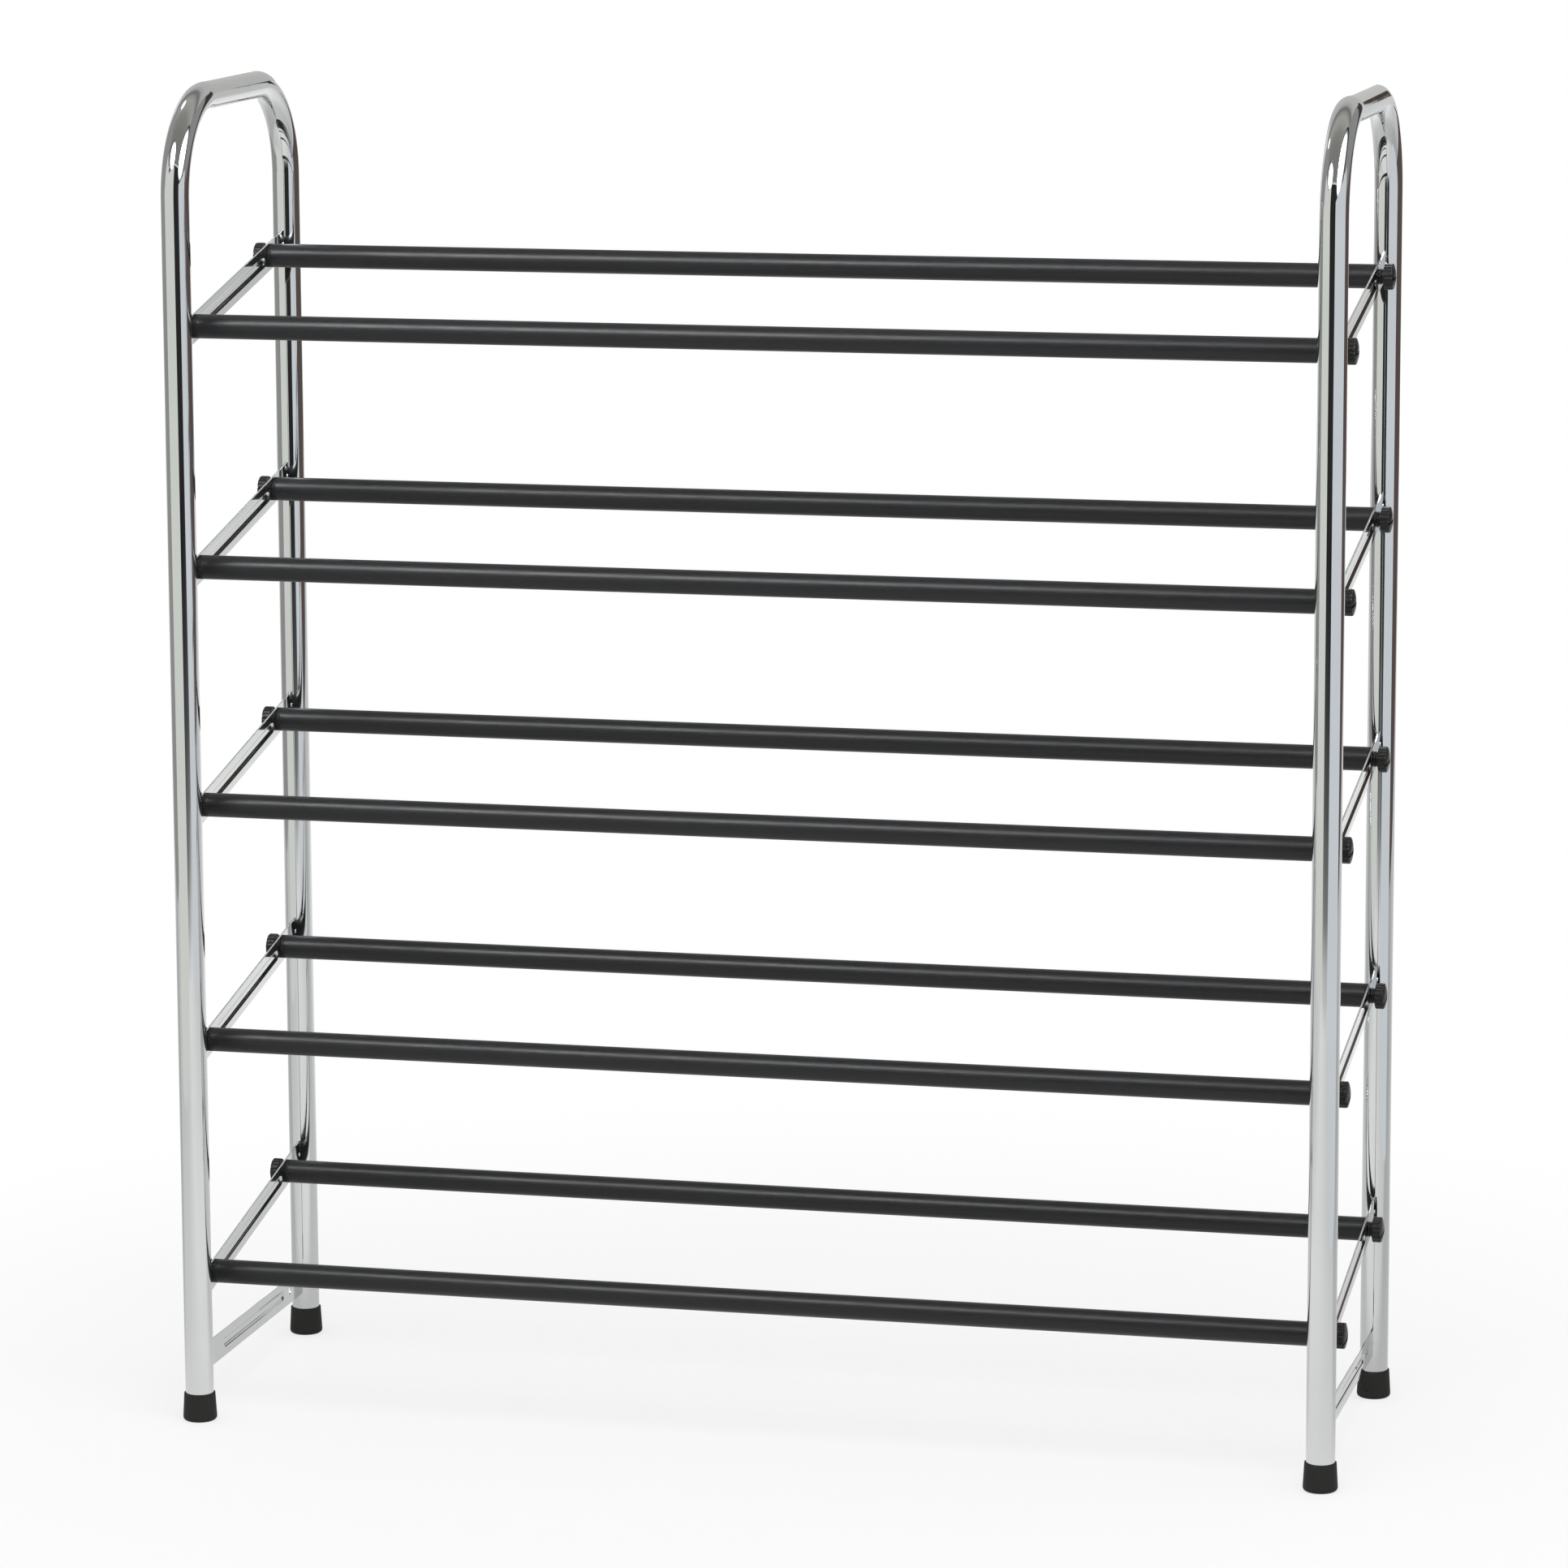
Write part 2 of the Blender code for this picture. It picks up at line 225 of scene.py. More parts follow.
class CapSizes(bpy.types.PropertyGroup):
    """Sizes of the foot caps."""

    cap_floor: length("Cap floor", "Thickness of the cap under the leg", 0.003)
    cap_flare: length("Cap flare", "Foot wider than the rim, on the radius", 0.0011)
    cap_fit: length("Cap fit", "Clearance around the leg", 0.00005)
    foot_edge: length("Foot edge", "Rounding of the foot", 0.0026)
    rim_edge: length("Rim edge", "Rounding of the rim", 0.0003)
    gate_height: length("Gate height", "Floor to the moulding gate", 0.0065)
    gate_radius: length("Gate radius", "Radius of the moulding gate", 0.0008)
    gate_depth: length("Gate depth", "Depth of the moulding gate", 0.0009)


class FinishColours(bpy.types.PropertyGroup):
    """Colours of the rack."""

    chrome: colour("Chrome", "Bright plating of the end frames", FINISHES["chrome"])
    rod_coat: colour("Rod coat", "Satin powder coat of the rods", FINISHES["rod_coat"])
    bush_plastic: colour("Bush plastic", "Plastic of the bushes", FINISHES["bush_plastic"])
    screw_plastic: colour("Screw plastic", "Plastic of the thumbscrews", FINISHES["screw_plastic"])
    cap_plastic: colour("Cap plastic", "Plastic of the foot caps", FINISHES["cap_plastic"])


class StudioLevels(bpy.types.PropertyGroup):
    """Brightness of the studio around the rack."""

    left_card: colour("Left card", "White card on the left", (0.98, 1.0, 0.95))
    right_card: colour("Right card", "White card on the right", (0.93, 0.97, 1.02))
    softbox_tint: colour("Softbox tint", "Colour of the softboxes", (0.94, 0.97, 1.0))
    screen: colour("Screen", "Dark screens at the back right", (0.07, 0.055, 0.045))
    wall_tint: colour("Wall tint", "Colour of plain walls and the small lamp", (1.0, 0.99, 0.97))
    softbox: level("Softboxes", "Middle of the softboxes over the front", 33.0)
    small_lamp: level("Small lamp", "Small lamp over the left frame", 3.0)
    ceiling: level("Ceiling", "Ceiling and upper wall at the back", 0.66)
    left_wall: level("Left wall", "Wall on the left", 0.42)
    right_wall: level("Right wall", "Wall on the right", 0.38)
    back_wall: level("Back wall", "Lit wall behind the rack", 1.7)
    front_wall: level("Front wall", "Dark wall behind the camera", 0.035)
    ambient: level("Ambient", "Even light from all around", 0.65)
    key_power: level("Key lamp", "Power of the overhead lamp in watts", 26.0)


# Shader nodes

def add(tree, kind, inputs=None, **options):
    """Add a node, set its options and give its inputs values or links."""
    node = tree.nodes.new(kind)
    for name, value in options.items():
        setattr(node, name, value)
    for name, value in (inputs or {}).items():
        if isinstance(value, bpy.types.NodeSocket):
            tree.links.new(value, node.inputs[name])
        else:
            node.inputs[name].default_value = value
    return node


def new_group(name, inputs, outputs):
    """A shader node group with named sockets, and its input and output nodes."""
    tree = bpy.data.node_groups.new(name, "ShaderNodeTree")
    for socket, kind in inputs.items():
        tree.interface.new_socket(socket, in_out="INPUT", socket_type=kind)
    for socket, kind in outputs.items():
        tree.interface.new_socket(socket, in_out="OUTPUT", socket_type=kind)
    return tree, add(tree, "NodeGroupInput").outputs, add(tree, "NodeGroupOutput").inputs


def noise(tree, scale, values):
    """A noise that keeps its place on a piece."""
    place = add(tree, "ShaderNodeTexCoord").outputs["Object"]
    waves = add(tree, "ShaderNodeTexNoise", {"Vector": place, "Scale": scale, **values})
    return waves.outputs["Fac"]


def fine_grain_group():
    """Fine pebbled relief of a powder coat or a moulded face, with paler specks."""
    tree, given, made = new_group(
        "fine_grain",
        {"Scale": "NodeSocketFloat"},
        {"Height": "NodeSocketFloat", "Specks": "NodeSocketFloat"},
    )
    sparse = noise(tree, given["Scale"], SPECK_NOISE)
    specks = add(tree, "ShaderNodeMapRange", {"Value": sparse, **SPECK_RANGE})
    tree.links.new(noise(tree, given["Scale"], RELIEF_NOISE), made["Height"])
    tree.links.new(specks.outputs["Result"], made["Specks"])
    return tree


def handling_marks_group():
    """Soft patches where a surface was handled, as a value between two others."""
    tree, given, made = new_group(
        "handling_marks",
        {"Scale": "NodeSocketFloat", "Clean": "NodeSocketFloat", "Handled": "NodeSocketFloat"},
        {"Value": "NodeSocketFloat"},
    )
    patches = noise(tree, given["Scale"], PATCH_NOISE)
    value = add(
        tree,
        "ShaderNodeMapRange",
        {"Value": patches, **PATCH_RANGE, "To Min": given["Clean"], "To Max": given["Handled"]},
        interpolation_type="SMOOTHSTEP",
    )
    tree.links.new(value.outputs["Result"], made["Value"])
    return tree


def plating_ripple_group():
    """Long, faint waves that a bent and polished tube keeps under its plating."""
    tree, given, made = new_group(
        "plating_ripple", {"Scale": "NodeSocketFloat"}, {"Height": "NodeSocketFloat"}
    )
    tree.links.new(noise(tree, given["Scale"], RIPPLE_NOISE), made["Height"])
    return tree


def shared(name):
    """A node group by its name, built once."""
    builders = {
        "fine_grain": fine_grain_group,
        "handling_marks": handling_marks_group,
        "plating_ripple": plating_ripple_group,
    }
    return bpy.data.node_groups.get(name) or builders[name]()


def placed(tree, name, values):
    """The outputs of a node group that is placed in a material with its own values."""
    return add(tree, "ShaderNodeGroup", values, node_tree=shared(name)).outputs


def new_material(name):
    """A node material with its shader in place."""
    material = bpy.data.materials.new(name)
    material.use_nodes = True
    return material, material.node_tree, material.node_tree.nodes["Principled BSDF"]


def two_tones(tree, mask, base, shade):
    """A colour that goes from the base to a shade of it where the mask is high."""
    tones = add(tree, "ShaderNodeMix", data_type="RGBA")
    tree.links.new(mask, tones.inputs["Factor"])
    tones.inputs["A"].default_value = (*base, 1.0)
    tones.inputs["B"].default_value = (*(shade * part for part in base), 1.0)
    return tones.outputs["Result"]


def plated(name, base):
    """Bright plating: mirror-like, with faint waves and handled patches."""
    material, tree, shader = new_material(name)
    rough = placed(tree, "handling_marks", CHROME_GLOSS)["Value"]
    tarnish = placed(tree, "handling_marks", CHROME_TARNISH)["Value"]
    ripple = placed(tree, "plating_ripple", CHROME_RIPPLE)["Height"]
    bump = add(tree, "ShaderNodeBump", {**CHROME_BUMP, "Height": ripple})
    tones = two_tones(tree, tarnish, base, TARNISH_SHADE)
    tree.links.new(tones, shader.inputs["Base Color"])
    tree.links.new(rough, shader.inputs["Roughness"])
    tree.links.new(bump.outputs["Normal"], shader.inputs["Normal"])
    shader.inputs["Metallic"].default_value = 1.0
    return material


def grained(name, base, grain, relief, specks, shine, clean, handled):
    """A black coat or moulding: fine relief, paler specks and handled patches."""
    material, tree, shader = new_material(name)
    marks = {"Scale": HANDLING_SCALE, "Clean": clean, "Handled": handled}
    rough = placed(tree, "handling_marks", marks)["Value"]
    texture = placed(tree, "fine_grain", {"Scale": grain})
    bump = add(
        tree,
        "ShaderNodeBump",
        {"Strength": relief, "Distance": GRAIN_DISTANCE, "Height": texture["Height"]},
    )
    tones = two_tones(tree, texture["Specks"], base, specks)
    tree.links.new(tones, shader.inputs["Base Color"])
    shader.inputs["Specular IOR Level"].default_value = shine
    tree.links.new(rough, shader.inputs["Roughness"])
    tree.links.new(bump.outputs["Normal"], shader.inputs["Normal"])
    return material


def finish(slot):
    """The material of one of the rack's finishes, built once."""
    found = bpy.data.materials.get(f"finish_{slot}")
    if found:
        return found
    base = getattr(bpy.context.scene.rack_finishes, slot)
    if slot == "chrome":
        return plated("finish_chrome", base)
    return grained(f"finish_{slot}", base, *BLACK_LOOKS[slot])


# Modelling

def turned(corners, steps):
    """Spin an outline of (along, radius, rounding) corners about the X axis.

    An outline that starts on the axis also ends there. Any other closes on itself.
    """
    bm = bmesh.new()
    verts = [bm.verts.new((along, 0.0, radius)) for along, radius, rounding in corners]
    for pair in zip(verts, verts[1:]):
        bm.edges.new(pair)
    if corners[0][1] > 0.0:
        bm.edges.new((verts[-1], verts[0]))
    for vert, (along, radius, rounding) in zip(verts, corners):
        if rounding > 0.0:
            bmesh.ops.bevel(
                bm,
                geom=[vert],
                offset=rounding,
                offset_type="OFFSET",
                segments=ROUND_STEPS,
                profile=ROUND_PROFILE,
                affect="VERTICES",
                material=-1,
            )
    bmesh.ops.spin(
        bm,
        geom=bm.verts[:] + bm.edges[:],
        cent=(0.0, 0.0, 0.0),
        axis=X_AXIS,
        angle=math.tau,
        steps=steps,
        use_merge=True,
    )
    bmesh.ops.remove_doubles(bm, verts=bm.verts, dist=MERGE_DISTANCE)
    bmesh.ops.recalc_face_normals(bm, faces=bm.faces)
    return bm


def to_mesh(bm, name):
    """Hand back a bmesh as a mesh that is shaded smooth."""
    mesh = bpy.data.meshes.new(name)
    bm.to_mesh(mesh)
    bm.free()
    mesh.shade_smooth()
    return mesh


def cut(mesh, tool):
    """Cut one closed mesh out of another."""
    body = bpy.data.objects.new(mesh.name, mesh)
    cutter = bpy.data.objects.new(tool.name, tool)
    for item in (body, cutter):
        bpy.context.scene.collection.objects.link(item)
    boolean = body.modifiers.new("Cut", "BOOLEAN")
    boolean.operation = "DIFFERENCE"
    boolean.solver = "EXACT"
    boolean.object = cutter
    bm = bmesh.new()
    bm.from_object(body, bpy.context.evaluated_depsgraph_get())
    for item in (body, cutter):
        bpy.data.objects.remove(item)
    bmesh.ops.remove_doubles(bm, verts=bm.verts, dist=MERGE_DISTANCE)
    return to_mesh(bm, mesh.name)


def soften(piece, width):
    """Round a piece's sharp edges."""
    bevel = piece.modifiers.new("Edges", "BEVEL")
    bevel.limit_method = "ANGLE"
    bevel.angle_limit = SHARP_ANGLE
    bevel.width = width
    bevel.segments = EDGE_STEPS


def thicken(piece, thickness, offset):
    """Give a sheet its thickness."""
    solid = piece.modifiers.new("Thickness", "SOLIDIFY")
    solid.thickness = thickness
    solid.offset = offset
    solid.use_even_offset = True


def set_out(name, mesh, slot, body, *nodes):
    """Put a finished piece on its body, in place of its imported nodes."""
    piece = bpy.data.objects.new(name, mesh)
    mesh.materials.append(finish(slot))
    bpy.context.scene.collection.objects.link(piece)
    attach(piece, body)
    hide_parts(*nodes)
    return piece


def flatten_shading(piece):
    """Let large faces keep their own direction beside small ones."""
    piece.modifiers.new("Shading", "WEIGHTED_NORMAL")


def copied(mesh, place):
    """A copy of a mesh, moved to its place."""
    mesh = mesh.copy()
    mesh.transform(place)
    return mesh


def handed(out):
    """Turns a piece that is made for the right end to its own end."""
    return Matrix.Rotation(0.0 if out > 0 else math.pi, 4, "Z")


def rod_axis(tier, row):
    """Depth and height of a rod's axis."""
    low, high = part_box(f"rod_{tier}_{row}")
    return (low.y + high.y) / 2, (low.z + high.z) / 2


def strip_line(tier):
    """Height of a strip at the middle of the rack, its slope, and the depth of its holes."""
    front_depth, front_height = rod_axis(tier, "front")
    rear_depth, rear_height = rod_axis(tier, "rear")
    slope = (rear_height - front_height) / (rear_depth - front_depth)
    return (front_height + rear_height) / 2, slope, (rear_depth - front_depth) / 2


def strips(sizes):
    """Name, height, slope, hole depth and holed ends of each strip of a frame, foot bar first."""
    hole_depth = strip_line(TIERS[0])[-1]
    lines = [("foot_bar", sizes.bar_height, 0.0, hole_depth, (ROWS["rear"],))]
    lines += [(f"strip_{tier}", *strip_line(tier), ROWS.values()) for tier in TIERS]
    return lines


def ring_of(made):
    """The edges of an extruded ring, without those that lead to it."""
    verts = {item for item in made if isinstance(item, bmesh.types.BMVert)}
    edges = [item for item in made if isinstance(item, bmesh.types.BMEdge)]
    return verts, [edge for edge in edges if verts.issuperset(edge.verts)]


def bent_tube(sizes, plane):
    """The outer skin of one tube, drawn up, bent twice and drawn down again."""
    foot = FRAME_LOW.z
    bend_height = FRAME_HIGH.z - TUBE_RADIUS - sizes.bend_radius
    bend_depth = LEG_DEPTH - sizes.bend_radius
    rise = Vector((0.0, 0.0, bend_height - foot))
    run = Vector((0.0, 2 * bend_depth, 0.0))
    bm = bmesh.new()
    start = Matrix.Translation((plane, -LEG_DEPTH, foot))
    bmesh.ops.create_circle(bm, segments=TUBE_SIDES, radius=TUBE_RADIUS, matrix=start)
    edges = bm.edges[:]
    for straight, bend_centre in ((rise, -bend_depth), (run, bend_depth), (-rise, None)):
        verts, edges = ring_of(bmesh.ops.extrude_edge_only(bm, edges=edges)["geom"])
        bmesh.ops.translate(bm, verts=list(verts), vec=straight)
        if bend_centre is not None:
            turned_out = bmesh.ops.spin(
                bm,
                geom=list(verts) + edges,
                cent=(plane, bend_centre, bend_height),
                axis=X_AXIS,
                angle=-QUARTER_TURN,
                steps=BEND_STEPS,
            )
            verts, edges = ring_of(turned_out["geom_last"])
    bmesh.ops.recalc_face_normals(bm, faces=bm.faces)
    return to_mesh(bm, "frame_tube")


def pressed_strip(sizes, plane, height, slope, hole_depth, holed):
    """The middle sheet of a strip, with its holes and the bead pressed into its right face."""
    tilt = math.atan(slope)
    reach = LEG_DEPTH - TUBE_RADIUS + sizes.tube_wall / 2
    hole_along = hole_depth / math.cos(tilt)
    half_run = hole_along - ROD_RADIUS - sizes.bead_margin - sizes.bead_width / 2
    bm = bmesh.new()

    half_step = Matrix.Rotation(math.pi / BEAD_SIDES, 4, "Z")
    down = Matrix.Translation((0.0, 0.0, -sizes.bead_depth))
    bmesh.ops.create_circle(
        bm, cap_ends=True, segments=BEAD_SIDES, radius=sizes.bead_floor / 2, matrix=down @ half_step
    )
    for vert in bm.verts:
        vert.co.x += math.copysign(half_run, vert.co.x)
    edges = bm.edges[:]
    for step in range(1, BEAD_STEPS + 1):
        share = step / BEAD_STEPS
        radius = ((1.0 - share) * sizes.bead_floor + share * sizes.bead_width) / 2
        verts, edges = ring_of(bmesh.ops.extrude_edge_only(bm, edges=edges)["geom"])
        for vert in verts:
            end = math.copysign(half_run, vert.co.x)
            out = Vector((vert.co.x - end, vert.co.y)).normalized() * radius
            rise = sizes.bead_depth * (1.0 + math.cos(math.pi * share)) / 2
            vert.co = (end + out.x, out.y, -rise)

    border = list(edges)
    for back in holed:
        at_hole = Matrix.Translation((back * hole_along, 0.0, 0.0))
        ring = bmesh.ops.create_circle(
            bm, segments=HOLE_SIDES, radius=sizes.hole_radius, matrix=at_hole
        )
        border += {edge for vert in ring["verts"] for edge in vert.link_edges}
    corners = []
    for end, side in ((-1, -1), (1, -1), (1, 1), (-1, 1)):
        across = side * sizes.strip_width / 2
        along = (end * reach + across * math.sin(tilt)) / math.cos(tilt)
        corners.append(bm.verts.new((along, across, 0.0)))
    border += [bm.edges.new(pair) for pair in zip(corners, corners[1:] + corners[:1])]
    bmesh.ops.triangle_fill(bm, use_beauty=True, edges=border, normal=(0.0, 0.0, 1.0))

    place = Matrix.Translation((plane, 0.0, height)) @ Matrix.Rotation(tilt, 4, "X") @ STRIP_FACING
    bmesh.ops.transform(bm, matrix=place, verts=bm.verts)
    bmesh.ops.recalc_face_normals(bm, faces=bm.faces)
    return to_mesh(bm, "pressed_strip")


def strip_welds(sizes, plane, height, slope):
    """A small weld at each end of a strip, half sunk between its right face and the leg."""
    bm = bmesh.new()
    reach = LEG_DEPTH - TUBE_RADIUS
    for end in ROWS.values():
        depth = end * (reach - sizes.weld_radius / 2)
        face = Vector((plane + sizes.strip_thickness / 2, depth, height + slope * depth))
        size = Matrix.Diagonal((sizes.weld_rise, sizes.weld_radius, sizes.weld_radius, 1.0))
        bmesh.ops.create_uvsphere(
            bm,
            u_segments=WELD_SIDES,
            v_segments=WELD_SIDES // 2,
            radius=1.0,
            matrix=Matrix.Translation(face) @ size,
        )
    return to_mesh(bm, "strip_welds")


def rod_tube(sizes):
    """A plain tube with its ends just broken, centred on the origin."""
    left, right = ROD_LOW.x, ROD_HIGH.x
    inner = ROD_RADIUS - sizes.rod_wall
    edge = sizes.rod_edge
    corners = [
        (left, ROD_RADIUS, edge),
        (right, ROD_RADIUS, edge),
        (right, inner, edge),
        (left, inner, edge),
    ]
    return to_mesh(turned(corners, ROD_SIDES), "rod_tube")


def flanged_bush(sizes, thickness):
    """A bush for a right-hand rod end, in place along the rod, with its flange at the strip."""
    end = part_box("bush_1_front_right")[0].x
    face = FRAME_PLANE - thickness / 2
    spigot = ROD_RADIUS - sizes.rod_wall - sizes.bush_fit
    corners = [
        (face, sizes.bush_bore, 0.0),
        (face, ROD_RADIUS, sizes.bush_edge),
        (ROD_HIGH.x, ROD_RADIUS, sizes.bush_edge),
        (ROD_HIGH.x, spigot, 0.0),
        (end, spigot, sizes.bush_lead),
        (end, sizes.bush_bore, 0.0),
    ]
    return to_mesh(turned(corners, ROD_SIDES), "flanged_bush")


def slotted_screw(sizes):
    """A fluted thumbscrew for the right side, with its collar's face at the origin."""
    fine = sizes.fine_edge
    collar = sizes.collar_radius
    neck = collar - sizes.groove_depth
    groove_end = sizes.groove_start + sizes.groove_width
    side_end = sizes.collar_length + sizes.head_side
    corners = [
        (-sizes.shank_length, 0.0, 0.0),
        (-sizes.shank_length, sizes.shank_radius, sizes.shank_lead),
        (0.0, sizes.shank_radius, 0.0),
        (0.0, collar, fine),
        (sizes.groove_start, collar, fine),
        (sizes.groove_start, neck, 0.0),
        (groove_end, neck, 0.0),
        (groove_end, collar, fine),
        (sizes.collar_length, collar, 0.0),
        (sizes.collar_length, sizes.head_radius, sizes.head_edge),
        (side_end, sizes.head_radius, sizes.head_edge),
        (side_end + sizes.knee_rise, sizes.knee_radius, sizes.knee_round),
        (side_end + sizes.dome_rise, 0.0, 0.0),
    ]
    bm = turned(corners, FLUTE_COUNT * FLUTE_STEPS)
    for vert in bm.verts:
        across = math.hypot(vert.co.y, vert.co.z)
        share = (across - sizes.knee_radius) / (sizes.head_radius - sizes.knee_radius)
        if vert.co.x >= sizes.collar_length and share > 0.0:
            lobe = abs(math.cos(FLUTE_COUNT / 2 * math.atan2(vert.co.y, vert.co.z)))
            depth = share * (1.0 - lobe) ** FLUTE_POWER * sizes.flute_depth
            vert.co.yz = vert.co.yz * (1.0 - depth / across)
    screw = to_mesh(bm, "slotted_screw")
    bm = bmesh.new()
    slot_length = CUT_OVERSIZE * 2 * sizes.head_radius
    size = Matrix.Diagonal((2 * sizes.slot_depth, slot_length, sizes.slot_width, 1.0))
    at_end = Matrix.Translation((side_end + sizes.dome_rise, 0.0, 0.0))
    bmesh.ops.create_cube(bm, size=1.0, matrix=at_end @ size)
    return cut(screw, to_mesh(bm, "coin_slot"))


def moulded_cap(sizes):
    """A flared foot cap, with a moulding gate that faces the front."""
    low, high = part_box("foot_cap_right_rear")
    height = high.z - low.z
    foot = (high.x - low.x) / 2
    rim = foot - sizes.cap_flare
    bore = TUBE_RADIUS + sizes.cap_fit
    corners = [
        (0.0, 0.0, 0.0),
        (0.0, foot, sizes.foot_edge),
        (height, rim, sizes.rim_edge),
        (height, bore, sizes.rim_edge),
        (sizes.cap_floor, bore, 0.0),
        (sizes.cap_floor, 0.0, 0.0),
    ]
    cap = to_mesh(turned(corners, CAP_SIDES), "moulded_cap")
    cap.transform(UPRIGHT)
    bm = bmesh.new()
    wall = foot - sizes.cap_flare * sizes.gate_height / height
    at_gate = Matrix.Translation((0.0, -wall, sizes.gate_height))
    bmesh.ops.create_cone(
        bm,
        cap_ends=True,
        segments=HOLE_SIDES,
        radius1=sizes.gate_radius,
        radius2=sizes.gate_radius,
        depth=2 * sizes.gate_depth,
        matrix=at_gate @ Matrix.Rotation(QUARTER_TURN, 4, "X"),
    )
    return cut(cap, to_mesh(bm, "gate"))


# Operators

class RackTubes(bpy.types.Operator):
    """Bend the tube of each end frame"""

    bl_idname = "rack.tubes"
    bl_label = "Frame tubes"

    def execute(self, context):
        sizes = context.scene.rack_frame
        for side, out in SIDES.items():
            mesh = bent_tube(sizes, out * FRAME_PLANE)
            tube = set_out(f"{side}_tube", mesh, "chrome", "rack", f"{side}_end_frame")
            thicken(tube, sizes.tube_wall, INWARD)
            flatten_shading(tube)
        return {"FINISHED"}


class RackStrips(bpy.types.Operator):
    """Press the strips and foot bars, and weld them between the legs"""

    bl_idname = "rack.strips"
    bl_label = "Strips and welds"

    def execute(self, context):
        sizes = context.scene.rack_frame
        for side, out in SIDES.items():
            plane = out * FRAME_PLANE
            node = f"{side}_end_frame"
            for name, height, slope, hole_depth, holed in strips(sizes):
                mesh = pressed_strip(sizes, plane, height, slope, hole_depth, holed)
                strip = set_out(f"{side}_{name}", mesh, "chrome", "rack", node)
                thicken(strip, sizes.strip_thickness, CENTRED)
                soften(strip, sizes.strip_edge)
                flatten_shading(strip)
                mesh = strip_welds(sizes, plane, height, slope)
                set_out(f"{side}_{name}_welds", mesh, "chrome", "rack", node)
        return {"FINISHED"}


class RackRods(bpy.types.Operator):
    """Set out the coated rods"""

    bl_idname = "rack.rods"
    bl_label = "Rods"

    def execute(self, context):
        model = rod_tube(context.scene.rack_rods)
        for tier in TIERS:
            for row in ROWS:
                mesh = copied(model, Matrix.Translation((0.0, *rod_axis(tier, row))))
                name = f"rod_{tier}_{row}"
                flatten_shading(set_out(f"coated_{name}", mesh, "rod_coat", "rack", name))
        return {"FINISHED"}


class RackBushes(bpy.types.Operator):
    """Set a flanged bush in each rod end"""

    bl_idname = "rack.bushes"
    bl_label = "Bushes"

    def execute(self, context):
        model = flanged_bush(context.scene.rack_rods, context.scene.rack_frame.strip_thickness)
        for tier in TIERS:
            for row in ROWS:
                for side, out in SIDES.items():
                    place = Matrix.Translation((0.0, *rod_axis(tier, row)))
                    mesh = copied(model, place @ handed(out))
                    name = f"bush_{tier}_{row}_{side}"
                    flatten_shading(set_out(f"moulded_{name}", mesh, "bush_plastic", "rack", name))
        return {"FINISHED"}


class RackScrews(bpy.types.Operator):
    """Run a slotted thumbscrew into each bush"""

    bl_idname = "rack.screws"
    bl_label = "Thumbscrews"

    def execute(self, context):
        sizes = context.scene.rack_screws
        model = slotted_screw(sizes)
        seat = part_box("thumbscrew_1_front_right")[0].x + sizes.shank_length
        for tier in TIERS:
            slot = Matrix.Rotation(math.radians(SLOT_ANGLES[tier - 1]), 4, "X")
            for row in ROWS:
                for side, out in SIDES.items():
                    place = Matrix.Translation((out * seat, *rod_axis(tier, row)))
                    name = f"thumbscrew_{tier}_{row}_{side}"
                    mesh = copied(model, place @ handed(out) @ slot)
                    screw = set_out(f"slotted_{name}", mesh, "screw_plastic", name, name)
                    flatten_shading(screw)
        return {"FINISHED"}


class RackCaps(bpy.types.Operator):
    """Slip a foot cap on each leg"""

    bl_idname = "rack.caps"
    bl_label = "Foot caps"

    def execute(self, context):
        model = moulded_cap(context.scene.rack_caps)
        for side, out in SIDES.items():
            for row, back in ROWS.items():
                turn = Matrix.Rotation(math.radians(GATE_ANGLES[side, row]), 4, "Z")
                place = Matrix.Translation((out * FRAME_PLANE, back * LEG_DEPTH, 0.0))
                mesh = copied(model, place @ turn)
                name = f"foot_cap_{side}_{row}"
                flatten_shading(set_out(f"moulded_{name}", mesh, "cap_plastic", "rack", name))
        return {"FINISHED"}


# Studio

CAMERA_PLACE = Vector((0.9912, -4.0753, 1.1754))
CAMERA_YAW = math.radians(13.700)
CAMERA_PITCH = math.radians(10.103)
CAMERA_ROLL = math.radians(-0.248)
CAMERA_LENS = 147.19  # millimetres, on a sensor 36 mm wide
SENSOR_WIDTH = 36.0

# Standing boards: plan and top of their two ends
LEFT_CARD = ((-0.19, -1.65, 1.74), (-1.35, -0.48, 0.92))
RIGHT_CARD = ((0.76, -1.16, 1.10), (1.10, 0.10, 1.10))
LEFT_WALL = ((-2.2, -0.9, 2.95), (-2.2, 1.15, 2.95))
RIGHT_WALL = ((2.2, -0.2, 2.95), (2.2, 4.8, 2.95))
BACK_WALL = ((-3.6, 4.8, 1.35), (2.2, 4.8, 1.35))
UPPER_WALL = ((-3.6, 4.8, 2.95), (2.2, 4.8, 2.95))
FRONT_WALL = ((-4.0, -4.6, 3.60), (5.0, -4.6, 3.60))
CORNER_SCREEN = ((1.62, 4.7, 2.60), (2.15, 4.7, 2.60))
SIDE_SCREEN = ((2.15, 4.7, 2.60), (2.15, 3.9, 2.60))
HIGH_SCREEN = ((0.84, 4.7, 1.42), (1.16, 4.7, 1.42))
HIGH_SCREEN_FOOT = 0.80

